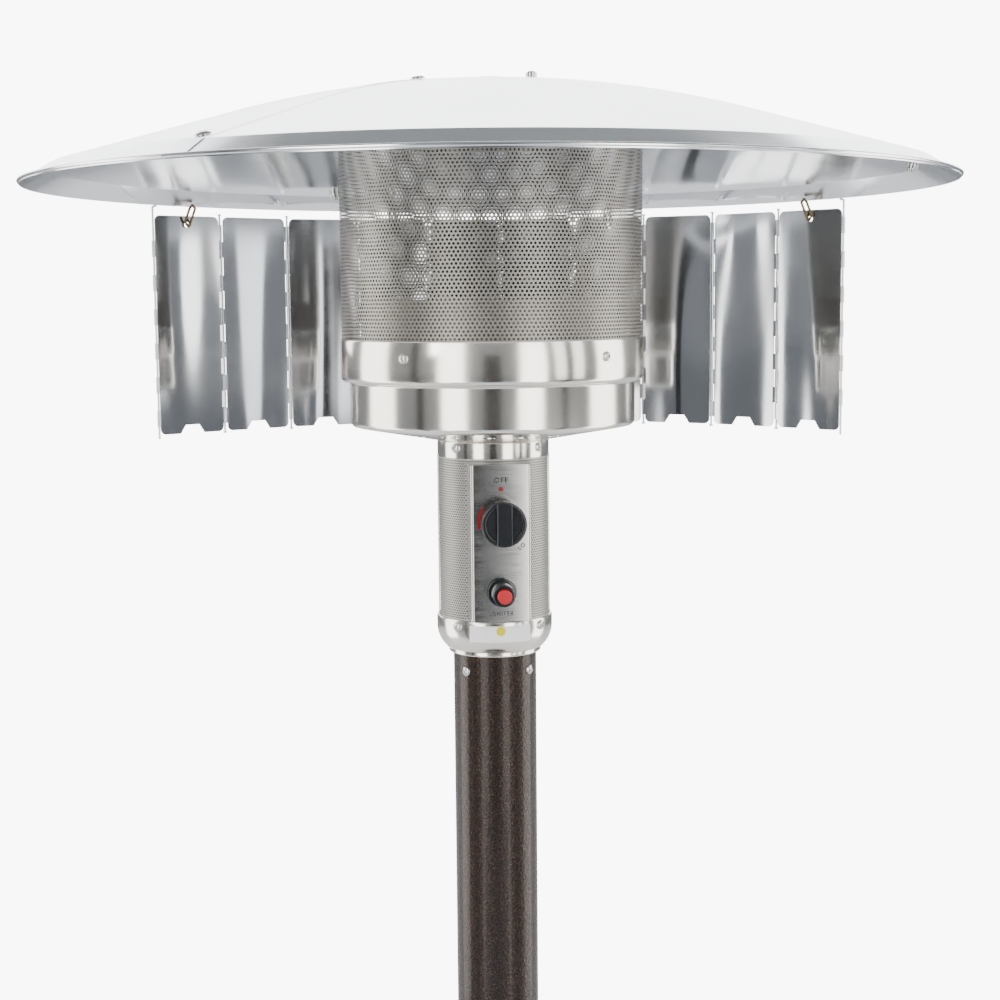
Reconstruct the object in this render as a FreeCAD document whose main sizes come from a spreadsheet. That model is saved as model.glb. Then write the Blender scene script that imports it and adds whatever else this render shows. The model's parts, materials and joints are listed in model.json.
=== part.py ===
"""Free-standing gas patio heater with a folding heat shield hung from its reflector.

Millimetres, +Z up, the front with the controls faces -Y. The origin is on the floor
under the middle of the post. Every size below is written once, in the Sizes sheet.
"""
import FreeCAD, Part
import Sketcher
import math
import os
import re
from FreeCAD import Placement, Rotation, Vector

SIZES = {
    # reflector
    "rim_radius": 406, "rim_height": 2120, "lip_run": 24, "lip_rise": 14.5,
    "cone_radius": 230, "cone_rise": 59, "dome_rise": 89.5, "hub_hole": 10, "sheet": 0.8,
    "hem": 1.6, "seam_turn": -10, "lap_angle": 3.4, "outer_bolt": 373, "inner_bolt": 110,
    "bolt_radius": 3, "stud_circle": 80,
    # emitter and burner
    "screen_radius": 135, "screen_bottom": 1984, "screen_top": 2172, "cap_lip": 9,
    "cup_radius": 112, "cup_bottom": 1968, "cup_top": 2021,
    "bowl_radius": 136.5, "bowl_top": 1986, "bowl_step_top": 1958, "bowl_step_bottom": 1949,
    "bowl_low_radius": 128.3, "bowl_low": 1912, "bowl_wall": 1.2, "vent_count": 18,
    "vent_circle": 92, "vent_long": 17, "vent_wide": 8.5, "bowl_screw_height": 1972,
    # control head
    "head_radius": 51, "neck_top": 1896, "sleeve_top": 1881, "sleeve_bottom": 1735.5,
    "cup_low": 1701, "panel_width": 53.5, "panel_edge": 3, "panel_flare": 58,
    "panel_bottom": 1738, "panel_top": 1877.5, "panel_face": 62, "panel_wall": 1.2,
    "knob_height": 1827.5, "knob_radius": 20, "knob_gap": 5, "knob_deep": 22, "grip_out": 3,
    "grip_wide": 14, "stem_radius": 4, "fit": 0.05, "igniter_height": 1764.5,
    "collar_radius": 13, "boss_radius": 10, "boss_long": 23, "button_radius": 6.5,
    "button_out": 5,
    # screws
    "screw_head": 4.25, "screw_high": 2.6, "screw_shank": 2.0, "screw_long": 6,
    # post and base
    "post_radius": 38, "post_wall": 1.5, "post_bottom": 650, "post_top": 1722,
    "flange_radius": 64, "flange_thick": 5, "post_screw_height": 1686,
    "base_radius": 230, "base_high": 40, "base_sheet": 2, "base_bevel": 6, "base_foot": 24,
    "leg_circle": 172, "leg_thick": 5, "leg_wide": 28, "leg_shoulder": 570,
    "housing_radius": 200, "housing_shoulder": 770, "housing_top": 812, "lift_gap": 0.4,
    "collar_hole": 41, "ring_radius": 52, "ring_high": 14,
    "tank_radius": 155, "tank_shoulder": 400, "tank_top": 478, "guard_radius": 98,
    "guard_top": 585, "tank_wall": 3, "valve_top": 552, "wheel_hand": 31,
    "outlet_height": 522, "hose_radius": 5.5,
    "axle_back": 270, "axle_height": 38, "axle_radius": 5, "bracket_half": 48,
    "wheel_radius": 35, "wheel_wide": 20, "wheel_middle": 62,
    # folding shield
    "plate_long": 82, "plate_high": 227, "shield_bottom": 1883, "shield_front": 220,
    "shield_yaw": -7.5, "lean_one": 45, "lean_two": 38.5, "lean_three": 29,
    "lean_four": 17.7, "lean_five": 5.9, "pin_radius": 1.1, "barrel_radius": 1.9,
    "plate_offset": 1.5, "edge_back": 2.7, "slot_margin": 8, "slot_count": 12,
    "barrel_play": 0.7, "corner": 6, "hang_hole": 3, "hang_drop": 9, "notch_wide": 27,
    "notch_high": 9, "hook_wire": 1.3, "hook_wide": 3.4,
}

doc = FreeCAD.newDocument("PatioHeater")
sizes = doc.addObject("Spreadsheet::Sheet", "Sizes")
for row, (name, number) in enumerate(SIZES.items(), start=1):
    sizes.set(f"A{row}", name)
    sizes.set(f"B{row}", str(number))
    sizes.setAlias(f"B{row}", name)
doc.recompute()
nodes, cuts = [], []


# ---------------------------------------------------------------- drawing helpers
def ref(text):
    """An expression with each size name pointed at the sheet."""
    return re.sub(r"[a-z_]+", lambda m: "Sizes." + m[0] if m[0] in SIZES else m[0], str(text))


def value(text):
    return float(sizes.evalExpression(ref(text)))


def new_body(label, at=None):
    body = doc.addObject("PartDesign::Body", label)
    body.Label = label
    if at is not None:
        body.Placement = at
    nodes.append(body)
    return body


def arc_between(a, b, radius, side):
    """Arc from a to b; side +1 keeps its centre on the left of the way from a to b."""
    chord = b - a
    half = chord.Length / 2
    left = Vector(-chord.y, chord.x, 0).normalize()
    centre = (a + b) * 0.5 + left * (side * math.sqrt(max(radius ** 2 - half ** 2, 0)))
    first, last = (a, b) if side > 0 else (b, a)
    turn = [math.atan2(p.y - centre.y, p.x - centre.x) for p in (first, last)]
    while turn[1] < turn[0]:
        turn[1] += 2 * math.pi
    circle = Part.Circle(centre, Vector(0, 0, 1), radius)
    return Part.ArcOfCircle(circle, turn[0], turn[1])


def bind(sketch, kind, ends, text):
    """A dimension driven by the sheet."""
    index = sketch.addConstraint(Sketcher.Constraint(kind, *ends, value(text)))
    sketch.setExpression(f"Constraints[{index}]", ref(text))


def draw_outline(sketch, points):
    """Closed outline. A point is (x, y), or (x, y, radius, side) to arrive by an arc."""
    first = sketch.GeometryCount
    spots = [Vector(value(p[0]), value(p[1]), 0) for p in points]
    ends = []
    for i, point in enumerate(points):
        a, b = spots[i - 1], spots[i]
        if len(point) == 2:
            sketch.addGeometry(Part.LineSegment(a, b), False)
            ends.append((1, 2))
        else:
            sketch.addGeometry(arc_between(a, b, value(point[2]), point[3]), False)
            ends.append((1, 2) if point[3] > 0 else (2, 1))
    for i, point in enumerate(points):
        after = (i + 1) % len(points)
        sketch.addConstraint(Sketcher.Constraint(
            "Coincident", first + i, ends[i][1], first + after, ends[after][0]))
        bind(sketch, "DistanceX", (-1, 1, first + i, ends[i][1]), point[0])
        bind(sketch, "DistanceY", (-1, 1, first + i, ends[i][1]), point[1])
        if len(point) == 4:
            bind(sketch, "Radius", (first + i,), point[2])


def draw_circle(sketch, x, y, radius):
    index = sketch.addGeometry(
        Part.Circle(Vector(value(x), value(y), 0), Vector(0, 0, 1), value(radius)), False)
    bind(sketch, "DistanceX", (-1, 1, index, 3), x)
    bind(sketch, "DistanceY", (-1, 1, index, 3), y)
    bind(sketch, "Radius", (index,), radius)


def new_sketch(body, plane, outlines, offset=(0, 0, 0), turn=None):
    sketch = body.newObject("Sketcher::SketchObject", "Outline")
    support = [f for f in body.Origin.OriginFeatures if f.Role == plane][0]
    sketch.AttachmentSupport = [(support, "")]
    sketch.MapMode = "FlatFace"
    sketch.AttachmentOffset = Placement(
        Vector(*[value(o) for o in offset]), turn or Rotation())
    for axis, text in zip("xyz", offset):
        sketch.setExpression(f".AttachmentOffset.Base.{axis}", ref(text))
    for outline in outlines:
        if outline[0] == "circle":
            draw_circle(sketch, *outline[1:])
        else:
            draw_outline(sketch, outline)
    return sketch


def add_feature(body, kind, profile, cut):
    feature = body.newObject(kind, "Step")
    if cut:
        cuts.append(feature)
    feature.Profile = profile
    return feature


def turned(body, outline, cut=False, angle=360, offset=(0, 0, 0), turn=None):
    """Revolve an outline (across, up) round the sketch's upright axis."""
    sketch = new_sketch(body, "XZ_Plane", [outline], offset, turn)
    kind = "PartDesign::Groove" if cut else "PartDesign::Revolution"
    feature = add_feature(body, kind, sketch, cut)
    feature.ReferenceAxis = (sketch, ["V_Axis"])
    feature.Angle = angle
    feature.Midplane = angle != 360
    doc.recompute()
    return feature


def padded(body, plane, outlines, length, start=0, cut=False, middle=False, turn=None,
           shift=(0, 0), back=False):
    """Pad or pocket outlines from a plane moved by start along its normal."""
    sketch = new_sketch(body, plane, outlines, (shift[0], shift[1], start), turn)
    kind = "PartDesign::Pocket" if cut else "PartDesign::Pad"
    feature = add_feature(body, kind, sketch, cut)
    feature.Midplane = middle
    feature.Reversed = back != cut
    if cut:
        feature.Type = 0
    feature.setExpression("Length", ref(length))
    doc.recompute()
    return feature


def ringed(body, features, count):
    """Repeat features evenly round the body's Z axis."""
    pattern = body.newObject("PartDesign::PolarPattern", "Ring")
    axis = [f for f in body.Origin.OriginFeatures if f.Role == "Z_Axis"][0]
    pattern.Originals = features
    pattern.Axis = (axis, [""])
    pattern.Angle = 360
    pattern.setExpression("Occurrences", ref(count))
    body.Tip = pattern
    doc.recompute()


def stacked(body, features, step, count):
    """Repeat features upwards along the body's Z axis."""
    pattern = body.newObject("PartDesign::LinearPattern", "Stack")
    axis = [f for f in body.Origin.OriginFeatures if f.Role == "Z_Axis"][0]
    pattern.Originals = features
    pattern.Direction = (axis, [""])
    pattern.setExpression("Length", ref(f"({step}) * ({count} - 1)"))
    pattern.setExpression("Occurrences", ref(count))
    body.Tip = pattern
    doc.recompute()


def around(body, outline, radius, height, tilt, azimuths, count, cut=False):
    """Small turned features standing on a surface, repeated round the Z axis."""
    for azimuth in azimuths:
        offset = (f"({radius}) * cos({azimuth})", height, f"-({radius}) * sin({azimuth})")
        turn = Rotation(Vector(0, 1, 0), azimuth) * Rotation(Vector(0, 0, 1), tilt)
        feature = turned(body, outline, cut, 360, offset, turn)
        ringed(body, [feature], count)


def pan_screw():
    return [(0, "-screw_long"), ("screw_shank", "-screw_long"), ("screw_shank", 0),
            ("screw_head", 0), ("screw_head", "screw_high * 0.45"),
            ("screw_head * 0.55", "screw_high"), (0, "screw_high")]


def screw_hole(radius="screw_shank + 0.15"):
    return [(0, -9), (radius, -9), (radius, 5), (0, 5)]


def rod(points, radius):
    """Round wire along straight runs, with ball corners."""
    solid = None
    for a, b in zip(points, points[1:]):
        run = Part.makeCylinder(radius, (b - a).Length, a, b - a)
        if solid is not None:
            solid = solid.fuse([run, Part.makeSphere(radius, a)])
        else:
            solid = run
    return solid.removeSplitter()


def rounded_path(route):
    """Straight runs joined by tangent arcs, each as large as its two runs allow."""
    edges, start = [], route[0]
    for before, corner, after in zip(route, route[1:], route[2:]):
        back, on = (before - corner), (after - corner)
        reach = 0.45 * min(back.Length, on.Length)
        back.normalize()
        on.normalize()
        near, far = corner + back * reach, corner + on * reach
        half_turn = (math.pi - back.getAngle(on)) / 2
        radius = reach / math.tan(half_turn)
        centre = corner + (back + on).normalize() * (radius / math.cos(half_turn))
        middle = centre + (corner - centre).normalize() * radius
        edges += [Part.makeLine(start, near), Part.Arc(near, middle, far).toShape()]
        start = far
    return Part.Wire(edges + [Part.makeLine(start, route[-1])])


def shape_node(label, shape, at=None):
    feature = doc.addObject("Part::Feature", label)
    feature.Label = label
    feature.Shape = shape
    if at is not None:
        feature.Placement = at
    nodes.append(feature)
    return feature


# ---------------------------------------------------------------- reflector
LIP_SLOPE = "(lip_rise / lip_run)"
CONE_SLOPE = "((cone_rise - lip_rise) / (rim_radius - lip_run - cone_radius))"
CONE_TILT = math.degrees(math.atan(value(CONE_SLOPE)))
CROWN = "((cone_radius ^ 2 + (dome_rise - cone_rise) ^ 2) / (2 * (dome_rise - cone_rise)))"


def crown_height(radius, lift="0"):
    """Height of the ball-shaped middle at a radius, lifted along its own radius."""
    return (f"(rim_height + dome_rise - {CROWN}"
            f" + sqrt(({CROWN} + {lift}) ^ 2 - ({radius}) ^ 2))")


def reflector_outline(inner, low, high):
    """Sheet between two offsets above the reflector's outer surface."""
    corner = "rim_radius - lip_run"
    return [
        ("rim_radius", "rim_height + " + low), ("rim_radius", "rim_height + " + high),
        (corner, "rim_height + lip_rise + " + high),
        ("cone_radius", "rim_height + cone_rise + " + high),
        (inner, crown_height(inner, high), f"{CROWN} + {high}", 1),
        (inner, crown_height(inner, low)),
        ("cone_radius", "rim_height + cone_rise + " + low, f"{CROWN} + {low}", -1),
        (corner, "rim_height + lip_rise + " + low),
    ]


def bolt_places():
    """Radius, surface height and tilt of the two bolts along each seam."""
    inner_tilt = math.degrees(math.asin(value(f"inner_bolt / {CROWN}")))
    return [("outer_bolt", f"rim_height + lip_rise + (rim_radius - lip_run - outer_bolt)"
             f" * {CONE_SLOPE}", -CONE_TILT),
            ("inner_bolt", crown_height("inner_bolt"), -inner_tilt)]


def reflector_sector(number):
    middle = value("seam_turn") + 120 * number - 180
    body = new_body(f"reflector_sector_{number}",
                    Placement(Vector(), Rotation(Vector(0, 0, 1), middle)))
    turned(body, reflector_outline("hub_hole", "-sheet", "0"), angle=119.9)
    # round bead rolled along the lower edge
    turned(body, ("circle", "rim_radius", "rim_height + hem", "hem"), angle=119.9)
    # the edge that laps over the next sheet, ending clear of the bead
    lap = Rotation(Vector(0, 1, 0), 60 + value("lap_angle") / 2 - 1)
    start = ("rim_radius - 2.5 * hem", f"rim_height + 2.5 * hem * {LIP_SLOPE}")
    lap_outline = [start, (start[0], start[1] + " + sheet")]
    lap_outline += reflector_outline(62, "0", "sheet")[2:]
    turned(body, lap_outline, angle=value("lap_angle"), turn=lap)
    hole = [(0, -4), ("bolt_radius + 0.2", -4), ("bolt_radius + 0.2", 4), (0, 4)]
    for azimuth in (60 + value("lap_angle") / 2 - 0.6, -60 + value("lap_angle") / 2 - 0.6):
        for radius, height, tilt in bolt_places():
            spot = (f"{radius} * cos({azimuth})", height, f"-{radius} * sin({azimuth})")
            turn = Rotation(Vector(0, 1, 0), azimuth) * Rotation(Vector(0, 0, 1), tilt)
            turned(body, hole, True, 360, spot, turn)
    spot = ("stud_circle", "rim_height + dome_rise", 0)
    turned(body, [(0, -9), ("bolt_radius + 0.2", -9), ("bolt_radius + 0.2", 9), (0, 9)],
           True, 360, spot)


def reflector_fixings():
    """A low round-headed bolt with its nut underneath, twice along each lapped seam."""
    body = new_body("reflector_bolts",
                    Placement(Vector(), Rotation(Vector(0, 0, 1), value("seam_turn"))))
    bolt = [(0, -7.5), ("bolt_radius", -7.5), ("bolt_radius", -5.2),
            ("bolt_radius * 1.85", -5.2), ("bolt_radius * 1.85", -1.05),
            ("bolt_radius", -1.05), ("bolt_radius", 1.05), ("bolt_radius * 2.05", 1.05),
            ("bolt_radius * 2.05", 1.7), ("bolt_radius * 1.7", 2.7), ("bolt_radius", 3.4),
            (0, 3.6)]
    for radius, height, tilt in bolt_places():
        around(body, bolt, radius, height, tilt, [value("lap_angle") / 2 - 0.6], 3)


def reflector_studs():
    """Three stand-off studs from the emitter cap up through the reflector."""
    body = new_body("reflector_studs",
                    Placement(Vector(), Rotation(Vector(0, 0, 1), value("seam_turn") + 60)))
    low, high = "screen_top + 1.25", crown_height("stud_circle")
    outline = [(0, low), ("bolt_radius * 2", low), ("bolt_radius * 2", f"{high} - 4"),
               ("bolt_radius", f"{high} - 4"), ("bolt_radius", f"{high} + 0.9"),
               ("bolt_radius * 1.6", f"{high} + 0.9"), ("bolt_radius * 1.6", f"{high} + 4.2"),
               ("bolt_radius", f"{high} + 5.6"), (0, f"{high} + 5.6")]
    around(body, outline, "stud_circle", 0, 0, [0], 3)


def reflector_hub():
    body = new_body("reflector_hub")
    top = "rim_height + dome_rise"
    turned(body, [(0, f"{top} + 0.1"), (48, f"{top} + 0.1"), (48, f"{top} + 1.3"),
                  (20, f"{top} + 2.2"), (0, f"{top} + 2.2")])


# ---------------------------------------------------------------- emitter and burner
def tube(label, radius, wall, low, high, at=None):
    body = new_body(label, at)
    turned(body, [(f"{radius} - {wall}", low), (radius, low), (radius, high),
                  (f"{radius} - {wall}", high)])
    return body


def emitter():
    tube("emitter_screen", "screen_radius", "sheet", "screen_bottom", "screen_top")
    body = new_body("emitter_cap")
    turned(body, [(0, "screen_top + 0.1"), ("screen_radius + 0.2", "screen_top + 0.1"),
                  ("screen_radius + 0.2", "screen_top - cap_lip"),
                  ("screen_radius + 1.2", "screen_top - cap_lip"),
                  ("screen_radius + 1.2", "screen_top + 1.2"), (0, "screen_top + 1.2")])
    body = new_body("burner_cup")
    turned(body, [(64.5, "cup_bottom"), ("cup_radius", "cup_bottom + 12"),
                  ("cup_radius", "cup_top - 1.5"), ("cup_radius + 4", "cup_top - 1.5"),
                  ("cup_radius + 4", "cup_top"), ("cup_radius - 1.5", "cup_top"),
                  ("cup_radius - 1.5", "cup_bottom + 13.5"), (64.5, "cup_bottom + 1.6")])
    body = new_body("burner_head")
    low, high = "cup_bottom - 14", "cup_bottom + 20"
    turned(body, [(12, f"{low} - 30"), (17, f"{low} - 30"), (17, f"{low} - 4"),
                  (64, "cup_bottom - 6"), (64, high), (30, f"{high} + 6"),
                  (0, f"{high} + 6"), (0, f"{high} - 2"), (58, f"{high} - 6"),
                  (58, "cup_bottom - 3"), (12, low)])
    pilot()


def pilot():
    """Pilot burner, flame probe and spark rod on one bent bracket beside the burner."""
    body = new_body("pilot_assembly")
    low = "cup_bottom + 17"
    padded(body, "XY_Plane", [[(66, -12), (90, -12), (90, 12), (66, 12)]], 2, low)
    for y in (-7, 0, 7):
        padded(body, "XY_Plane", [("circle", 80, y, 2.4)], "16 + cup_top - cup_bottom",
               low)
    padded(body, "XY_Plane", [("circle", 80, 0, 4.6)], 16, f"cup_top + 6")


def burner_bowl():
    body = new_body("burner_bowl")
    low = "neck_top"
    inner = "bowl_radius - bowl_wall"
    turned(body, [
        ("head_radius - 8", low), ("head_radius + 3", low),
        ("bowl_low_radius - 5", "bowl_low - 3"),
        ("bowl_low_radius", "bowl_low + 3", 5.2, 1),
        ("bowl_low_radius", "bowl_step_bottom"),
        ("bowl_radius - 2.5", "bowl_step_bottom + 1.5"),
        ("bowl_radius", "bowl_step_top", "bowl_step_top - bowl_step_bottom", 1),
        ("bowl_radius", "bowl_top"), (inner, "bowl_top"), (inner, "bowl_step_top"),
        ("bowl_radius - 4", "bowl_step_bottom + 3"),
        ("bowl_low_radius - bowl_wall", "bowl_step_bottom + 2"),
        ("bowl_low_radius - bowl_wall", "bowl_low + 3"),
        ("bowl_low_radius - 6", "bowl_low - 1.8"),
        ("head_radius + 3", f"{low} + bowl_wall"), ("head_radius - 8", f"{low} + bowl_wall")])
    long, wide = "vent_long / 2", "vent_wide / 2"
    slot = [("vent_circle - " + wide, "-" + long + " + " + wide),
            ("vent_circle + " + wide, "-" + long + " + " + wide, wide + " + 0.001", 1),
            ("vent_circle + " + wide, long + " - " + wide),
            ("vent_circle - " + wide, long + " - " + wide, wide + " + 0.001", 1)]
    vent = padded(body, "XY_Plane", [slot], "bowl_top - neck_top + 20", "neck_top - 10",
                  cut=True, back=False)
    ringed(body, [vent], "vent_count")
    around(body, screw_hole(), "bowl_radius", "bowl_screw_height", -90, [51, 129], 2, True)
    screws = new_body("bowl_screws")
    around(screws, pan_screw(), "bowl_radius + 0.05", "bowl_screw_height", -90, [51, 129], 2)


# ---------------------------------------------------------------- control head
def head_shell():
    body = new_body("head_neck")
    turned(body, [("head_radius - 12", "sleeve_top"), ("head_radius - 0.4", "sleeve_top"),
                  ("head_radius - 0.4", "neck_top - 2.05"),
                  ("head_radius - 2.4", "neck_top - 0.05", 2.001, 1),
                  ("head_radius - 12", "neck_top - 0.05"),
                  ("head_radius - 12", "neck_top - 3"),
                  ("head_radius - 6", "neck_top - 3"),
                  ("head_radius - 6", "sleeve_top + 3"),
                  ("head_radius - 12", "sleeve_top + 3")])
    around(body, screw_hole(), "head_radius - 0.4", "sleeve_top + 9", -90, [43, 137], 2, True)
    sleeve = tube("control_sleeve", "head_radius", 1, "sleeve_bottom", "sleeve_top")
    window = [(-21, "igniter_height - 16"), (21, "igniter_height - 16"),
              (21, "knob_height + 22"), (-21, "knob_height + 22")]
    padded(sleeve, "XZ_Plane", [window], "head_radius + 5", 0, cut=True, back=False)
    cup = new_body("control_cup")
    high, low = "sleeve_bottom", "cup_low"
    turned(cup, [("post_radius + 0.1", low), ("post_radius + 3", low),
                 ("post_radius + 4", f"{low} + 3"), ("post_radius + 6", f"{low} + 4"),
                 ("head_radius + 1.7", f"{low} + 22", 30, 1), ("head_radius + 1.7", high),
                 ("head_radius - 1.2", high), ("head_radius - 1.2", f"{high} - 2"),
                 ("head_radius + 0.5", f"{high} - 3"), ("head_radius + 0.5", f"{low} + 22"),
                 ("post_radius + 4.5", f"{low} + 5.5", 29, -1),
                 ("post_radius + 0.1", f"{low} + 5.5")])
    around(cup, screw_hole(), "head_radius + 1.7", f"{high} - 6", -90, [45, 135], 2, True)
    screws = new_body("head_screws")
    around(screws, pan_screw(), "head_radius - 0.35", "sleeve_top + 9", -90, [43, 137], 2)
    around(screws, pan_screw(), "head_radius + 1.75", f"{high} - 6", -90, [45, 135], 2)
    around(screws, pan_screw(), "post_radius + 0.3", "post_screw_height", -90, [41, 139], 2)


def control_panel():
    body = new_body("control_panel")
    face, half, flare, edge = "panel_face", "panel_width / 2", "panel_flare / 2", "panel_edge"

    def plan(inset, back):
        return [(f"{inset} - {flare}", back), (f"{inset} - {half}", f"{edge} - {face}"),
                (f"{inset} + 0.4 * {edge} - {half}", f"0.3 * {edge} + {inset} - {face}"),
                (f"{edge} + {inset} / 2 - {half}", f"{inset} - {face}"),
                (f"{half} - {inset} / 2 - {edge}", f"{inset} - {face}"),
                (f"{half} - {inset} - 0.4 * {edge}", f"0.3 * {edge} + {inset} - {face}"),
                (f"{half} - {inset}", f"{edge} - {face}"), (f"{flare} - {inset}", back)]
    padded(body, "XY_Plane", [plan("0", -38)], "panel_top - panel_bottom", "panel_bottom")
    padded(body, "XY_Plane", [plan("panel_wall", -36)],
           "panel_top - panel_bottom - 2 * panel_wall", "panel_bottom + panel_wall", cut=True,
           back=False)
    padded(body, "XY_Plane", [("circle", 0, 0, "head_radius + 0.7")],
           "panel_top - panel_bottom + 2", "panel_bottom - 1", cut=True, back=False)
    for height, radius in (("knob_height", "stem_radius + 1.5"),
                           ("igniter_height", "boss_radius - 1.5")):
        padded(body, "XZ_Plane", [("circle", 0, height, radius)], "panel_face", 20,
               cut=True, back=False)


def gas_valve():
    """Valve block behind the panel with the injector pipe rising to the burner."""
    body = new_body("gas_valve")
    z = "knob_height"
    padded(body, "XZ_Plane", [[(-15, f"{z} - 22"), (15, f"{z} - 22"), (15, f"{z} + 20"),
                               (-15, f"{z} + 20")]], 44, 4)
    padded(body, "XY_Plane", [("circle", 0, -12, 6)], "cup_bottom - 64 - knob_height",
           f"{z} + 18")
    padded(body, "XY_Plane", [("circle", 0, -12, 7)], 26, f"{z} - 44")
    padded(body, "XZ_Plane", [("circle", 0, z, "stem_radius + fit")], 60, 14, cut=True,
           back=False)
    stem = new_body("valve_stem")
    padded(stem, "XZ_Plane", [("circle", 0, z, "stem_radius")],
           "panel_face + knob_gap + 14 - 22", 22)
    knob_parts()


def knob_parts():
    body = new_body("control_knob")
    z, near = "knob_height", "panel_face + knob_gap"
    padded(body, "XZ_Plane", [("circle", 0, z, "knob_radius")], "knob_deep", near)
    grip = [("-grip_wide / 2", f"{z} - knob_radius + 2"),
            ("grip_wide / 2", f"{z} - knob_radius + 2", "knob_radius", 1),
            ("grip_wide / 2", f"{z} + knob_radius - 2"),
            ("-grip_wide / 2", f"{z} + knob_radius - 2", "knob_radius", 1)]
    padded(body, "XZ_Plane", [grip], "knob_deep + grip_out - 1", f"{near} + 1")
    padded(body, "XZ_Plane", [("circle", 0, z, "stem_radius + fit")], 14.3,
           f"{near} - 0.01", cut=True, back=False)
    z, near = "igniter_height", "panel_face"
    collar = new_body("igniter_collar")
    padded(collar, "XZ_Plane", [("circle", 0, z, "collar_radius"),
                                ("circle", 0, z, "button_radius + 0.4")], 3.5,
           f"{near} + 0.05")
    padded(collar, "XZ_Plane", [("circle", 0, z, "boss_radius"),
                                ("circle", 0, z, "button_radius + 0.4")], "boss_long",
           f"{near} + 0.05")
    inner = new_body("igniter_body")
    padded(inner, "XZ_Plane", [("circle", 0, z, "boss_radius - 1.7")], 34,
           f"{near} - 44")
    padded(inner, "XZ_Plane", [("circle", 0, z, "button_radius - 3")], 8,
           f"{near} - 10")
    button = new_body("igniter_button")
    padded(button, "XZ_Plane", [("circle", 0, z, "button_radius")],
           "boss_long + button_out - 6", f"{near} + 6")


# ---------------------------------------------------------------- post and base
def post_parts():
    body = new_body("post_tube")
    low, high, out = "post_bottom", "post_top", "post_radius"
    turned(body, [(f"{out} - post_wall", low), ("flange_radius", low),
                  ("flange_radius", f"{low} + flange_thick"), (out, f"{low} + flange_thick"),
                  (out, high), (f"{out} - post_wall", high)])
    around(body, screw_hole(), out, "post_screw_height", -90, [41, 139], 2, True)
    legs = new_body("support_legs",
                    Placement(Vector(), Rotation(Vector(0, 0, 1), 30)))
    inner, low, high = "leg_circle", "base_high", "post_bottom"
    leg = [("leg_circle - 24", low), ("leg_circle + leg_thick", low),
           ("leg_circle + leg_thick", "leg_shoulder"), ("flange_radius - 6", high),
           ("post_radius + 8", high), ("post_radius + 8", f"{high} - leg_thick"),
           ("flange_radius - 10", f"{high} - leg_thick"), (inner, "leg_shoulder - 3"),
           (inner, f"{low} + leg_thick"), ("leg_circle - 24", f"{low} + leg_thick")]
    feature = padded(legs, "XZ_Plane", [leg], "leg_wide", 0, middle=True)
    ringed(legs, [feature], 3)


def base_parts():
    body = new_body("base_pan")
    out, t = "base_radius", "base_sheet"
    turned(body, [
        (f"{out} - base_foot", 0), (out, 0), (out, "base_high - base_bevel"),
        (f"{out} - base_bevel", "base_high"), (0, "base_high"), (0, f"base_high - {t}"),
        (f"{out} - base_bevel - {t} / 2", f"base_high - {t}"),
        (f"{out} - {t}", f"base_high - base_bevel - {t} / 2"),
        (f"{out} - {t}", t), (f"{out} - base_foot", t)])
    bracket = new_body("wheel_bracket")
    half, near, far = "bracket_half", "base_radius", "axle_back + 14"
    plan = [(f"-{half}", f"{near} - 4.8"), (f"3 - {half}", f"{near} - 4.3"),
            (f"3 - {half}", f"{near} + 0.1"), (f"{half} - 3", f"{near} + 0.1"),
            (f"{half} - 3", f"{near} - 4.3"), (half, f"{near} - 4.8"), (half, far),
            (f"{half} - 3", far), (f"{half} - 3", f"{near} + 3.1"),
            (f"3 - {half}", f"{near} + 3.1"), (f"3 - {half}", far), (f"-{half}", far)]
    padded(bracket, "XY_Plane", [plan], "axle_height + 14 - 8", 8)
    padded(bracket, "YZ_Plane", [("circle", "axle_back", "axle_height", "axle_radius + fit")],
           "bracket_half * 3", 0, cut=True, middle=True)
    axle = new_body("wheel_axle", Placement(
        Vector(0, value("axle_back"), value("axle_height")), Rotation(Vector(0, 1, 0), 90)))
    end = "(wheel_middle + wheel_wide / 2)"
    turned(axle, [(0, f"-{end} - 3.5"), ("axle_radius * 1.7", f"-{end} - 3.5"),
                  ("axle_radius * 1.7", f"-{end} - 0.5"), ("axle_radius", f"-{end} - 0.5"),
                  ("axle_radius", f"{end} + 0.5"), ("axle_radius * 1.7", f"{end} + 0.5"),
                  ("axle_radius * 1.7", f"{end} + 3.5"), (0, f"{end} + 3.5")])
    for name, side in (("wheel_left", -1), ("wheel_right", 1)):
        wheel = new_body(name, Placement(
            Vector(side * value("wheel_middle"), value("axle_back"), value("axle_height")),
            Rotation(Vector(0, 1, 0), 90)))
        w, r = "wheel_wide / 2", "wheel_radius"
        turned(wheel, [
            ("axle_radius + fit", f"-{w}"), (11, f"-{w}"), (11, f"3 - {w}"),
            (f"{r} - 11", f"3 - {w}"), (f"{r} - 9", f"-{w}"), (f"{r} - 3", f"-{w}"),
            (r, f"3 - {w}", 3.001, 1), (r, f"{w} - 3"), (f"{r} - 3", w, 3.001, 1),
            (f"{r} - 9", w), (f"{r} - 11", f"{w} - 3"), (11, f"{w} - 3"), (11, w),
            ("axle_radius + fit", w)])


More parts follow.
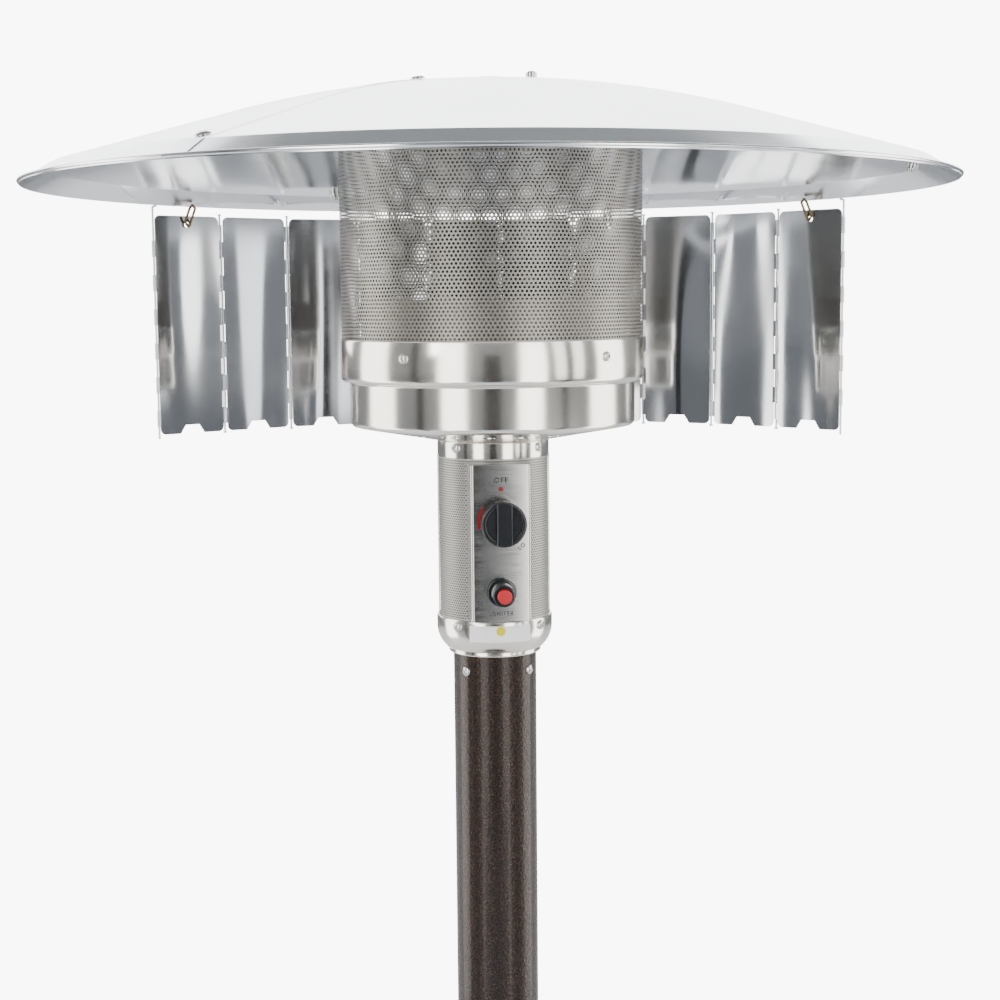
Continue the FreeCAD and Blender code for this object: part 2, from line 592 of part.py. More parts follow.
def housing_parts():
    body = new_body("tank_housing")
    low, out, t = "base_high + lift_gap", "housing_radius", "sheet"
    shoulder, top = "housing_shoulder", "housing_top"
    turned(body, [
        (f"{out} - {t}", low), (f"{out} + 2", low), (f"{out} + 2", f"{low} + 4"),
        (out, f"{low} + 6"), (out, f"{shoulder} - 10"),
        (f"{out} - 10", shoulder, 10.001, 1), ("collar_hole + 6", top),
        ("collar_hole + 2", top), ("collar_hole + 2", f"{top} - {t}"),
        ("collar_hole + 5.9", f"{top} - {t}"), (f"{out} - 10 - {t} / 2", f"{shoulder} - {t}"),
        (f"{out} - {t}", f"{shoulder} - 10")])
    ring = new_body("housing_collar")
    turned(ring, [("collar_hole", f"{top} - 8"), ("collar_hole + 1.9", f"{top} - 8"),
                  ("collar_hole + 1.9", f"{top} + 0.1"), ("ring_radius", f"{top} + 0.1"),
                  ("ring_radius", f"{top} + ring_high - 4"),
                  ("ring_radius - 4", f"{top} + ring_high", 4.001, 1),
                  ("collar_hole", f"{top} + ring_high")])


def gas_parts():
    """Gas cylinder with its foot ring and guard, the valve, regulator and hose."""
    body = new_body("gas_cylinder")
    low, out, t = "base_high", "tank_radius", "tank_wall"
    sh, top = "tank_shoulder", "tank_top"
    turned(body, [
        ("tank_radius - 45", low), ("tank_radius - 42", low),
        ("tank_radius - 42", f"{low} + 22"), (out, f"{low} + 70"), (out, sh),
        (60, f"{top} - 6"), (16, top), (12, top), (12, f"{top} - {t}"),
        (60, f"{top} - 6 - {t}"), (f"{out} - {t}", f"{sh} - 1"),
        (f"{out} - {t}", f"{low} + 71.5"), ("tank_radius - 43", f"{low} + 25"),
        (0, f"{low} + 25"), (0, f"{low} + 22"), ("tank_radius - 45", f"{low} + 22")])
    # the guard stands on the sloping shoulder
    foot = f"({sh} + ({top} - 6 - {sh}) * ({out} - guard_radius) / ({out} - 60) - 1.2)"
    guard = [("guard_radius - 2.5", foot), ("guard_radius", foot),
             ("guard_radius", "guard_top"), ("guard_radius - 2.5", "guard_top")]
    turned(body, guard, angle=300, turn=Rotation(Vector(0, 1, 0), 180))
    valve = new_body("cylinder_valve")
    high = "valve_top"
    turned(valve, [(0, f"{top} - 14"), (11.9, f"{top} - 14"), (11.9, f"{top} + 0.2"),
                   (16, f"{top} + 0.2"), (16, f"{high} - 24"), (9, f"{high} - 18"),
                   (9, high), (4, high), (4, f"{high} + 9"), (0, f"{high} + 9")])
    padded(valve, "YZ_Plane", [("circle", 0, "outlet_height", 9)], 32, 0)
    hand = new_body("cylinder_handwheel")
    turned(hand, [("4 + fit", f"{high} + 0.4"), ("wheel_hand - 8", f"{high} + 0.4"),
                  ("wheel_hand", f"{high} + 5"), ("wheel_hand", f"{high} + 12"),
                  ("wheel_hand - 4", f"{high} + 13.5"), (0, f"{high} + 13.5"),
                  (0, f"{high} + 10"), ("4 + fit", f"{high} + 10")])
    scallop = padded(hand, "XY_Plane", [("circle", "wheel_hand + 4", 0, 7)], 30,
                     f"{high} - 5", cut=True, back=False)
    ringed(hand, [scallop], 6)
    regulator_and_hose()


def regulator_and_hose():
    body = new_body("regulator")
    z = "outlet_height"
    padded(body, "YZ_Plane", [("circle", 0, z, 12)], 18, 32.1)
    padded(body, "YZ_Plane", [("circle", 0, z, 25)], 20, 42)
    padded(body, "XY_Plane", [("circle", 52, 0, "hose_radius + 3")], 22, f"{z} + 14")
    route = [Vector(52, 0, value("outlet_height + 36.2")),
             Vector(52, 0, value("post_bottom - 48")), Vector(0, -12, value("post_bottom + 30")),
             Vector(0, -12, value("knob_height - 44.2"))]
    ring = Part.Wire([Part.makeCircle(value("hose_radius"), route[0], Vector(0, 0, 1))])
    path = rounded_path(route)
    print("hose bends", [round(edge.Curve.Radius) for edge in path.Edges
                         if edge.Curve.TypeId == "Part::GeomCircle"], "length", round(path.Length))
    shape_node("gas_hose", path.makePipeShell([ring], True, True))


# ---------------------------------------------------------------- folding shield
LEANS = [value(f"lean_{n}") for n in ("one", "two", "three", "four", "five")]
LEANS += [-lean for lean in reversed(LEANS)]
HUNG = (1, 4, 7, 10)
PITCH = "((plate_high - 2 * slot_margin) / slot_count)"


def hinge_spots():
    """The eleven pin axes in plan, and the way each plate points."""
    length, yaw = value("plate_long"), value("shield_yaw")
    turn = Rotation(Vector(0, 0, 1), yaw)
    ways = [math.radians(lean) for lean in LEANS]
    half = length * sum(math.cos(w) for w in ways) / 2
    spot = Vector(-half, value("shield_front"), 0)
    spots = [spot]
    for way in ways:
        spot = spot + Vector(math.cos(way), math.sin(way), 0) * length
        spots.append(spot)
    return [turn.multVec(s) for s in spots], [lean + yaw for lean in LEANS]


def shield_plate(number, spot, way):
    """One sheet with rolled knuckles along both upright edges."""
    at = Placement(Vector(spot.x, spot.y, value("shield_bottom")),
                   Rotation(Vector(0, 0, 1), way))
    body = new_body(f"shield_plate_{number}", at)
    side = -1 if number % 2 == 0 else 1
    lean = side * -math.degrees(math.atan(2 * value("plate_offset / plate_long")))
    half, high, r = "(plate_long / 2 - edge_back)", "plate_high", "corner"
    sheet = [
        (f"{r} - {half}", 0), ("-notch_wide / 2 - 1", 0),
        ("5 - notch_wide / 2", "notch_high"), ("notch_wide / 2 - 5", "notch_high"),
        ("notch_wide / 2 + 1", 0), (f"{half} - {r}", 0), (half, r, f"{r} + 0.001", 1),
        (half, f"{high} - {r}"), (f"{half} - {r}", high, f"{r} + 0.001", 1),
        (f"{r} - {half}", high), (f"-{half}", f"{high} - {r}", f"{r} + 0.001", 1),
        (f"-{half}", r), (f"{r} - {half}", 0, f"{r} + 0.001", 1)][:-1]
    sheet[0] = (f"{r} - {half}", 0, f"{r} + 0.001", 1)
    holes = [("circle", 0, f"{high} - hang_drop", "hang_hole")] if number in HUNG else []
    padded(body, "XZ_Plane", [sheet] + holes, "sheet", 0, middle=True,
           turn=Rotation(Vector(0, 1, 0), lean), shift=("plate_long / 2", 0))
    for x, first, face in ((0, 0, side), ("plate_long", 1, -side)):
        start = f"slot_margin + {first} * {PITCH} + barrel_play / 2"
        long = f"{PITCH} - barrel_play"
        barrel = padded(body, "XY_Plane", [("circle", x, 0, "barrel_radius"),
                                           ("circle", x, 0, "pin_radius + fit")], long, start)
        into = 1 if x == 0 else -1
        near, far = f"{x}", f"{x} + {into} * (edge_back + 1.2)"
        low, top = f"{face} * (plate_offset + sheet / 2)", f"{face} * (pin_radius + fit + 0.05)"
        strap = padded(body, "XY_Plane", [[(near, low), (far, low), (far, top), (near, top)]],
                       long, start)
        stacked(body, [barrel, strap], f"2 * {PITCH}", "slot_count / 2")


def end_pin(label, spot, way):
    """Edge pin whose top is bent over the sheet to hold it."""
    high = value("plate_high")
    bend = [Vector(0, 0, -4), Vector(0, 0, high + 8), Vector(4.5, 0, high + 9.5)]
    at = Placement(Vector(spot.x, spot.y, value("shield_bottom")),
                   Rotation(Vector(0, 0, 1), way))
    shape_node(label, rod(bend, value("pin_radius")), at)


def shield_parts():
    spots, ways = hinge_spots()
    for number in range(1, 11):
        shield_plate(number, spots[number - 1], ways[number - 1])
    for number in range(1, 10):
        body = new_body(f"shield_pin_{number}", Placement(
            Vector(spots[number].x, spots[number].y, value("shield_bottom")), Rotation()))
        turned(body, [(0, -2.4), ("barrel_radius", -2.4), ("barrel_radius", -0.4),
                      ("pin_radius", -0.4), ("pin_radius", "plate_high + 1.5"),
                      ("barrel_radius", "plate_high + 1.5"),
                      ("barrel_radius", "plate_high + 3"), (0, "plate_high + 3")])
    end_pin("shield_end_pin_left", spots[0], ways[0])
    end_pin("shield_end_pin_right", spots[10], ways[9] + 180)
    hooks = []
    for number in HUNG:
        middle = (spots[number - 1] + spots[number]) * 0.5
        way = math.radians(ways[number - 1])
        inward = Vector(math.sin(way), -math.cos(way), 0)
        hooks.append(hook(middle, inward))
    shape_node("shield_hooks", Part.makeCompound(hooks))


def hook(middle, inward):
    """Wire link from under the reflector's lip down to just inside a hanging hole."""
    wire, wide = value("hook_wire"), value("hook_wide")
    near = middle + inward * (wire + value("sheet") / 2 + 0.9)
    flat = Vector(near.x, near.y, 0)
    reach = min(value("rim_radius - 7"), flat.Length)
    top = flat * (reach / flat.Length)
    lip = value("rim_height - sheet") + (value("rim_radius") - reach) * value(LIP_SLOPE)
    low = value("shield_bottom + plate_high - hang_drop")
    up, aside = Vector(0, 0, 1), Vector(-inward.y, inward.x, 0) * wide
    peak, foot = top + up * (lip - 2 * wire), near + up * (low - 2)
    points = [peak, top + aside + up * (lip - 6), near + aside + up * (low + 3), foot,
              near - aside + up * (low + 3), top - aside + up * (lip - 6), peak]
    link = rod(points, wire).fuse(Part.makeSphere(wire, peak))
    return link.fuse(rod([foot, foot + inward * 4 + up * 1.5], wire))


# ---------------------------------------------------------------- build and save
for sector in (1, 2, 3):
    reflector_sector(sector)
reflector_fixings()
reflector_studs()
reflector_hub()
emitter()
burner_bowl()
head_shell()
control_panel()
gas_valve()
post_parts()
base_parts()
housing_parts()
gas_parts()
shield_parts()

doc.recompute()
for item in doc.Objects:
    if "Invalid" in item.State or "Error" in item.State:
        raise RuntimeError(f"{item.Name} ({item.Label}) did not build: {item.State}")
for cut in cuts:
    if cut.Shape.Volume >= cut.BaseFeature.Shape.Volume - 0.01:
        raise RuntimeError(f"{cut.Name} cuts nothing away")
os.makedirs("parts", exist_ok=True)
for node in nodes:
    shape = node.Shape
    if shape.isNull() or not shape.isValid() or not shape.Solids:
        raise RuntimeError(f"{node.Label} has no valid solid")
    shape.exportStep(f"parts/{node.Label}.step")
print(len(nodes), "nodes saved")
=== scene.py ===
# %% [markdown]
# # A gas patio heater with a folding heat shield
# This notebook dresses a finished CAD model. The CAD gives every piece its size and
# its place, so we never measure anything by eye: we ask the frame where a piece is,
# and then give that piece its finish, or build a finer one in the same space.

# %% Open the frame and note its size
import bpy
import json
import math
from mathutils import Matrix, Vector


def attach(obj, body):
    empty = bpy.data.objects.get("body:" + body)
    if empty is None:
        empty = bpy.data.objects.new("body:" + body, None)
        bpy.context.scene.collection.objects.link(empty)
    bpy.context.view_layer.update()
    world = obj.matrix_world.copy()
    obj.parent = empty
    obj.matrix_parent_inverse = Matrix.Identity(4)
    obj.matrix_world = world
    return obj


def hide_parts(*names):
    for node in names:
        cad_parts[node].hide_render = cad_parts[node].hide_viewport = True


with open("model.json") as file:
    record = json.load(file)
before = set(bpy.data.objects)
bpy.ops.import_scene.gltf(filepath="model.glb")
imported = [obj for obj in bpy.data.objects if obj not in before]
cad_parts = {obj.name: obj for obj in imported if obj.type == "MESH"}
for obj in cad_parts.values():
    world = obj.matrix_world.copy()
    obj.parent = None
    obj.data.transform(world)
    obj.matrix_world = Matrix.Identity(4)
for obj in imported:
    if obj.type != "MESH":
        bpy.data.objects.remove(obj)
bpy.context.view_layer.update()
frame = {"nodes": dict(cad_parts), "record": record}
NODES = frame["nodes"]
MM = 0.001
SIDES = (-1, 1)


# %% [markdown]
# ## The camera
# A camera can be aimed with an empty and a constraint, but a fixed heading, pitch and
# roll are easier to read and to change. The camera stands a metre and a half in front
# of the heater, a little to the left of the knob, at the height of the emitter, and it
# looks slightly down. The lens is a short telephoto, so the reflector keeps its shape.

# %% Set up the camera
EYE_DISTANCE, EYE_HEIGHT = 1.53, 2.020
HEADING, PITCH, ROLL = math.radians(-6.0), math.radians(6.75), math.radians(0.5)
PAN = math.radians(0.22)
SENSOR, LENS, FAR_CLIP = 36, 60.8, 60
camera_data = bpy.data.cameras.new("camera")
camera_data.sensor_width, camera_data.lens = SENSOR, LENS
camera_data.clip_end = FAR_CLIP
camera = bpy.data.objects.new("camera", camera_data)
bpy.context.scene.collection.objects.link(camera)
bpy.context.scene.camera = camera
camera.location = (EYE_DISTANCE * math.sin(HEADING), -EYE_DISTANCE * math.cos(HEADING),
                   EYE_HEIGHT)
camera.matrix_world = (Matrix.Translation(camera.location)
                       @ Matrix.Rotation(HEADING - PAN, 4, "Z")
                       @ Matrix.Rotation(math.pi / 2 - PITCH, 4, "X")
                       @ Matrix.Rotation(-ROLL, 4, "Z"))
print("camera at", [round(number, 3) for number in camera.location])


# %% [markdown]
# ## Floor, backdrop and light
# Polished metal shows nothing but its surroundings, so the surroundings are the
# lighting. A bright, even room makes the metal light, and a few dark and light boards
# just outside the picture give it the tall stripes that tell the eye it is a mirror.

# %% Helpers for the studio
def clear_selection():
    """Leave edit mode and deselect all, so that an operator acts on new things only."""
    if bpy.context.object and bpy.context.object.mode != "OBJECT":
        bpy.ops.object.mode_set(mode="OBJECT")
    bpy.ops.object.select_all(action="DESELECT")


def link(tree, a, a_socket, b, b_socket):
    tree.links.new(a.outputs[a_socket], b.inputs[b_socket])


def mix_shaders(tree, chooser, socket, first, second, output):
    """The first shader shows where the chooser gives 0, and the second where it gives 1."""
    mix = tree.nodes.new("ShaderNodeMixShader")
    link(tree, chooser, socket, mix, 0)
    link(tree, first, 0, mix, 1)
    link(tree, second, 0, mix, 2)
    link(tree, mix, 0, tree.nodes[output], "Surface")


def plain_material(name, colour, roughness=0.9, glow=0.0):
    material = bpy.data.materials.new(name)
    material.use_nodes = True
    shader = material.node_tree.nodes["Principled BSDF"]
    shader.inputs["Base Color"].default_value = (*colour, 1)
    shader.inputs["Roughness"].default_value = roughness
    if glow:
        shader.inputs["Emission Color"].default_value = (*colour, 1)
        shader.inputs["Emission Strength"].default_value = glow
    return material


def board(name, size, place, look_at, material):
    """A flat card that faces a point. Only reflections and light see it."""
    clear_selection()
    bpy.ops.mesh.primitive_plane_add(size=1, location=place)
    card = bpy.context.object
    card.name = name
    card.scale = (size[0], size[1], 1)
    way = Vector(look_at) - Vector(place)
    card.rotation_euler = way.to_track_quat("Z", "Y").to_euler()
    card.data.materials.append(material)
    card.visible_camera = card.visible_shadow = False


def soft_light(name, place, look_at, size, power):
    light = bpy.data.lights.new(name, "AREA")
    light.shape, light.size, light.size_y = "RECTANGLE", size[0], size[1]
    light.energy = power
    lamp = bpy.data.objects.new(name, light)
    bpy.context.scene.collection.objects.link(lamp)
    lamp.location = place
    way = Vector(look_at) - Vector(place)
    lamp.rotation_euler = way.to_track_quat("-Z", "Y").to_euler()


def around_heater(angle, distance, height):
    """A place in the studio: angle is counted from the camera's side, plus to its right."""
    turn = HEADING + math.radians(angle)
    return (distance * math.sin(turn), -distance * math.cos(turn), height)


# %% Floor and backdrop
PAPER_WHITE, ROOM_GLOW, FLOOR_SIZE = 9.0, 0.36, 120


def paper_floor():
    """Pale floor that meets the white background without a line."""
    material = plain_material("floor_white", (0.62, 0.63, 0.65))
    tree = material.node_tree
    paper = tree.nodes.new("ShaderNodeEmission")
    paper.inputs["Color"].default_value = (1, 1, 1, 1)
    paper.inputs["Strength"].default_value = PAPER_WHITE
    mix_shaders(tree, tree.nodes.new("ShaderNodeLightPath"), "Is Camera Ray",
                tree.nodes["Principled BSDF"], paper, "Material Output")
    clear_selection()
    bpy.ops.mesh.primitive_plane_add(size=FLOOR_SIZE)
    floor = bpy.context.object
    floor.name = "studio_floor"
    floor.data.materials.append(material)


def studio_world():
    """White behind the heater; a softer, cooler room in everything that it reflects."""
    world = bpy.data.worlds.new("studio_room")
    bpy.context.scene.world = world
    world.use_nodes = True
    tree = world.node_tree
    room = tree.nodes["Background"]
    room.inputs["Color"].default_value = (0.90, 0.95, 1.0, 1)
    room.inputs["Strength"].default_value = ROOM_GLOW
    paper = tree.nodes.new("ShaderNodeBackground")
    paper.inputs["Color"].default_value = (1, 1, 1, 1)
    paper.inputs["Strength"].default_value = PAPER_WHITE
    mix_shaders(tree, tree.nodes.new("ShaderNodeLightPath"), "Is Camera Ray", room, paper,
                "World Output")


paper_floor()
studio_world()

# %% Lamps and boards
HEAD = (0, 0, 1.9)
soft_light("key_light", (-2.2, -2.6, 3.6), HEAD, (1.6, 1.6), 60)
soft_light("fill_light", (2.6, -2.0, 2.6), HEAD, (1.4, 2.0), 25)
white = plain_material("white_board", (1, 0.985, 0.95), glow=3.6)
sky = plain_material("sky_board", (0.97, 0.98, 1.0), glow=4.2)
slate = plain_material("slate_board", (0.30, 0.33, 0.38), glow=1.0)
dark = plain_material("dark_board", (0.012, 0.012, 0.012))
TALL = 4.2
for side in SIDES:
    for kind, wide, angle, distance, height, card in (
            ("white_board_front", 1.1, 30, 3.2, 1.7, white),
            ("white_board_side", 1.7, 98, 3.2, 1.9, white),
            ("dark_strip", 0.30, 58, 2.6, 1.7, dark)):
        place = around_heater(side * angle, distance, height)
        board(f"{kind}_{side}", (wide, TALL), place, HEAD, card)
board("sky_board_behind", (14, 5.0), (0, 6.5, 5.0), (0, 0, 2.2), sky)
board("dark_board_behind_camera", (0.8, 2.6), around_heater(0, 3.4, 1.6), HEAD, dark)
board("slate_board_low", (2.6, 1.2), around_heater(0, 1.9, 0.35), HEAD, slate)
print("studio ready: floor, backdrop, 2 lamps and 9 boards")


# %% [markdown]
# ## Shared effects
# Real metal is never one even number. These groups each make one small imperfection
# and hand back a colour, a mask or a normal. A material then plugs them into its own
# shader. Building the effect once keeps every finish on the heater related.

# %% Helpers for node trees
# A Mix node lists the sockets of every data type, so the ones in use get names here.
MIX_FACTOR, FLOAT_A, FLOAT_B, COLOUR_A, COLOUR_B, COLOUR_OUT = 0, 2, 3, 6, 7, 2


def new_group(name, inputs, outputs):
    group = bpy.data.node_groups.new(name, "ShaderNodeTree")
    for label, kind, default in inputs:
        socket = group.interface.new_socket(label, in_out="INPUT", socket_type=kind)
        if default is not None:
            socket.default_value = default
    for label, kind in outputs:
        group.interface.new_socket(label, in_out="OUTPUT", socket_type=kind)
    start = group.nodes.new("NodeGroupInput")
    end = group.nodes.new("NodeGroupOutput")
    return group, start, end


def add_node(tree, kind, **values):
    """A node with its values set: a name that is a socket's goes there, others to the node."""
    node = tree.nodes.new(kind)
    for key, value in values.items():
        if key in node.inputs:
            node.inputs[key].default_value = value
        else:
            setattr(node, key, value)
    return node


def stretched_noise(tree, stretch, scale, detail=3.0):
    """Noise on object coordinates, pulled out along an axis."""
    place = add_node(tree, "ShaderNodeTexCoord")
    mapping = add_node(tree, "ShaderNodeMapping")
    mapping.inputs["Scale"].default_value = stretch
    noise = add_node(tree, "ShaderNodeTexNoise", Scale=scale, Detail=detail)
    link(tree, place, "Object", mapping, "Vector")
    link(tree, mapping, "Vector", noise, "Vector")
    return noise


def ramp(tree, source, socket, low, high, low_value, high_value):
    """Map a value range to another."""
    remap = add_node(tree, "ShaderNodeMapRange")
    for label, number in (("From Min", low), ("From Max", high), ("To Min", low_value),
                          ("To Max", high_value)):
        remap.inputs[label].default_value = number
    link(tree, source, socket, remap, "Value")
    return remap


# %% Uneven polish: a slow ripple and finger smears
def build_polish_group():
    group, start, end = new_group(
        "uneven_polish",
        [("Smooth", "NodeSocketFloat", 0.08), ("Rough", "NodeSocketFloat", 0.2),
         ("Ripple", "NodeSocketFloat", 0.1)],
        [("Roughness", "NodeSocketFloat"), ("Normal", "NodeSocketVector")])
    smear = stretched_noise(group, (1, 1, 1), 9, 4)
    mask = ramp(group, smear, "Fac", 0.35, 0.75, 0.0, 1.0)
    mix = add_node(group, "ShaderNodeMix", data_type="FLOAT")
    link(group, mask, "Result", mix, MIX_FACTOR)
    link(group, start, "Smooth", mix, FLOAT_A)
    link(group, start, "Rough", mix, FLOAT_B)
    link(group, mix, 0, end, "Roughness")
    wave = stretched_noise(group, (1, 1, 0.12), 11, 1.0)
    bump = add_node(group, "ShaderNodeBump", Distance=0.009)
    link(group, start, "Ripple", bump, "Strength")
    link(group, wave, "Fac", bump, "Height")
    link(group, bump, "Normal", end, "Normal")
    return group


UNEVEN_POLISH = build_polish_group()


# %% Brush lines: thousands of hair-fine scratches along one direction
def build_brush_group():
    group, start, end = new_group(
        "brush_lines",
        [("Depth", "NodeSocketFloat", 0.1), ("Stretch", "NodeSocketVector", (300, 300, 6))],
        [("Lines", "NodeSocketFloat"), ("Normal", "NodeSocketVector")])
    place = add_node(group, "ShaderNodeTexCoord")
    mapping = add_node(group, "ShaderNodeMapping")
    noise = add_node(group, "ShaderNodeTexNoise", Scale=4.0, Detail=4.0)
    link(group, place, "Object", mapping, "Vector")
    link(group, start, "Stretch", mapping, "Scale")
    link(group, mapping, "Vector", noise, "Vector")
    bump = add_node(group, "ShaderNodeBump", Distance=0.0004)
    link(group, start, "Depth", bump, "Strength")
    link(group, noise, "Fac", bump, "Height")
    link(group, noise, "Fac", end, "Lines")
    link(group, bump, "Normal", end, "Normal")
    return group


BRUSH_LINES = build_brush_group()


# %% Dust: a pale film that settles on what faces up
DUST_COLOUR = (0.45, 0.42, 0.38, 1)


def build_dust_group():
    group, start, end = new_group(
        "settled_dust",
        [("Colour", "NodeSocketColor", (1, 1, 1, 1)), ("Amount", "NodeSocketFloat", 0.3)],
        [("Colour", "NodeSocketColor"), ("Mask", "NodeSocketFloat")])
    surface = add_node(group, "ShaderNodeNewGeometry")
    split = add_node(group, "ShaderNodeSeparateXYZ")
    link(group, surface, "Normal", split, "Vector")
    up = ramp(group, split, "Z", 0.4, 1.0, 0.0, 1.0)
    patch = ramp(group, stretched_noise(group, (1, 1, 1), 22, 5), "Fac", 0.4, 0.7, 0.2, 1.0)
    film = add_node(group, "ShaderNodeMath", operation="MULTIPLY")
    link(group, up, "Result", film, 0)
    link(group, patch, "Result", film, 1)
    amount = add_node(group, "ShaderNodeMath", operation="MULTIPLY")
    link(group, film, 0, amount, 0)
    link(group, start, "Amount", amount, 1)
    mix = add_node(group, "ShaderNodeMix", data_type="RGBA")
    link(group, amount, 0, mix, MIX_FACTOR)
    link(group, start, "Colour", mix, COLOUR_A)
    mix.inputs[COLOUR_B].default_value = DUST_COLOUR
    link(group, mix, COLOUR_OUT, end, "Colour")
    link(group, amount, 0, end, "Mask")
    return group


SETTLED_DUST = build_dust_group()
print("groups", [group.name for group in (UNEVEN_POLISH, BRUSH_LINES, SETTLED_DUST)])


# %% [markdown]
# ## Finishes
# Each finish is one material named for what it is on the heater. The shader itself
# always stays in the material. The groups above only feed its inputs.

# %% Polished and brushed metals
def new_finish(name, colour, metallic, roughness):
    material = bpy.data.materials.new(name)
    material.use_nodes = True
    tree = material.node_tree
    shader = tree.nodes["Principled BSDF"]
    shader.inputs["Base Color"].default_value = (*colour, 1)
    shader.inputs["Metallic"].default_value = metallic
    shader.inputs["Roughness"].default_value = roughness
    return material, tree, shader


def use_group(tree, group, **values):
    node = tree.nodes.new("ShaderNodeGroup")
    node.node_tree = group
    for key, value in values.items():
        node.inputs[key].default_value = value
    return node


def polished_metal(name, colour, smooth, rough, ripple):
    material, tree, shader = new_finish(name, colour, 1.0, smooth)
    polish = use_group(tree, UNEVEN_POLISH, Smooth=smooth, Rough=rough, Ripple=ripple)
    link(tree, polish, "Roughness", shader, "Roughness")
    link(tree, polish, "Normal", shader, "Normal")
    return material


def painted_shade_inside(material):
    """The inner face of a thin sheet is painted near black and dull as shade, so the holes in
    it read dark.
    """
    tree = material.node_tree
    outer = tree.nodes["Principled BSDF"]
    inner = tree.nodes.new("ShaderNodeBsdfPrincipled")
    # Painted shade: a near black for the inside of the tube, where little light reaches.
    inner.inputs["Base Color"].default_value = (0.035, 0.032, 0.03, 1)
    inner.inputs["Roughness"].default_value = 0.7
    mix_shaders(tree, tree.nodes.new("ShaderNodeNewGeometry"), "Backfacing", outer, inner,
                "Material Output")
    return material


def brushed_metal(name, colour, roughness, depth, stretch):
    material, tree, shader = new_finish(name, colour, 1.0, roughness)
    brush = use_group(tree, BRUSH_LINES, Depth=depth, Stretch=stretch)
    spread = ramp(tree, brush, "Lines", 0.3, 0.7, roughness * 0.7, roughness * 1.3)
    link(tree, spread, "Result", shader, "Roughness")
    link(tree, brush, "Normal", shader, "Normal")
    return material


REFLECTOR = polished_metal("reflector_aluminium", (0.88, 0.89, 0.90), 0.12, 0.24, 0.12)
CHROME = polished_metal("polished_shell", (0.84, 0.80, 0.73), 0.13, 0.19, 0.02)
# The screen and the sleeve get painted shade on their inner faces, so their holes read dark.
SCREEN = painted_shade_inside(polished_metal("screen_steel", (0.27, 0.258, 0.235), 0.36, 0.48, 0.0))
SLEEVE = painted_shade_inside(polished_metal("sleeve_steel", (0.42, 0.41, 0.385), 0.46, 0.56, 0.0))
PANEL = brushed_metal("brushed_panel", (0.50, 0.49, 0.475), 0.20, 0.012, (6, 60, 300))
SHIELD = polished_metal("shield_sheet", (0.58, 0.59, 0.61), 0.07, 0.14, 1.7)
PIN_WIRE = polished_metal("pin_wire", (0.70, 0.70, 0.70), 0.15, 0.3, 0.0)
FIXING = polished_metal("zinc_fixing", (0.62, 0.62, 0.60), 0.16, 0.32, 0.0)
HEAT_STEEL = polished_metal("heat_stained_steel", (0.20, 0.175, 0.15), 0.36, 0.55, 0.1)
DARK_BRASS = polished_metal("hook_wire_brass", (0.15, 0.11, 0.06), 0.22, 0.4, 0.0)
BRASS = polished_metal("valve_brass", (0.72, 0.55, 0.28), 0.2, 0.35, 0.0)
REGULATOR = polished_metal("regulator_casting", (0.55, 0.55, 0.57), 0.35, 0.5, 0.0)


# %% Hammered bronze paint
def hammered_bronze():
    material, tree, shader = new_finish("hammered_bronze", (0.05, 0.025, 0.014), 0.55, 0.35)
    place = add_node(tree, "ShaderNodeTexCoord")
    cells = add_node(tree, "ShaderNodeTexVoronoi", Scale=420.0, feature="SMOOTH_F1")
    cells.inputs["Smoothness"].default_value = 0.6
    link(tree, place, "Object", cells, "Vector")
    flake = add_node(tree, "ShaderNodeTexNoise", Scale=900.0, Detail=2.0)
    link(tree, place, "Object", flake, "Vector")
    colour = add_node(tree, "ShaderNodeMix", data_type="RGBA")
    colour.inputs[COLOUR_A].default_value = (0.008, 0.005, 0.004, 1)
    colour.inputs[COLOUR_B].default_value = (0.085, 0.042, 0.022, 1)
    speck = ramp(tree, flake, "Fac", 0.48, 0.78, 0.0, 1.0)
    link(tree, speck, "Result", colour, MIX_FACTOR)
    dust = use_group(tree, SETTLED_DUST, Amount=0.15)
    link(tree, colour, COLOUR_OUT, dust, "Colour")
    link(tree, dust, "Colour", shader, "Base Color")
    bump = add_node(tree, "ShaderNodeBump", Strength=0.35, Distance=0.0008)
    link(tree, cells, "Distance", bump, "Height")
    link(tree, bump, "Normal", shader, "Normal")
    shader.inputs["Coat Weight"].default_value = 0.18
    shader.inputs["Coat Roughness"].default_value = 0.12
    return material


BRONZE = hammered_bronze()


# %% Plastics, rubber, paint and iron
def grained(name, colour, metallic, roughness, grain_scale, grain_depth, dust=0.0):
    """A moulded or cast surface: even colour, fine grain, a little dust."""
    material, tree, shader = new_finish(name, colour, metallic, roughness)
    place = add_node(tree, "ShaderNodeTexCoord")
    noise = add_node(tree, "ShaderNodeTexNoise", Scale=grain_scale, Detail=3.0)
    link(tree, place, "Object", noise, "Vector")
    bump = add_node(tree, "ShaderNodeBump", Strength=grain_depth, Distance=0.0005)
    link(tree, noise, "Fac", bump, "Height")
    link(tree, bump, "Normal", shader, "Normal")
    spread = ramp(tree, noise, "Fac", 0.3, 0.7, roughness * 0.85, min(roughness * 1.2, 1))
    link(tree, spread, "Result", shader, "Roughness")
    film = use_group(tree, SETTLED_DUST, Colour=(*colour, 1), Amount=dust)
    link(tree, film, "Colour", shader, "Base Color")
    return material


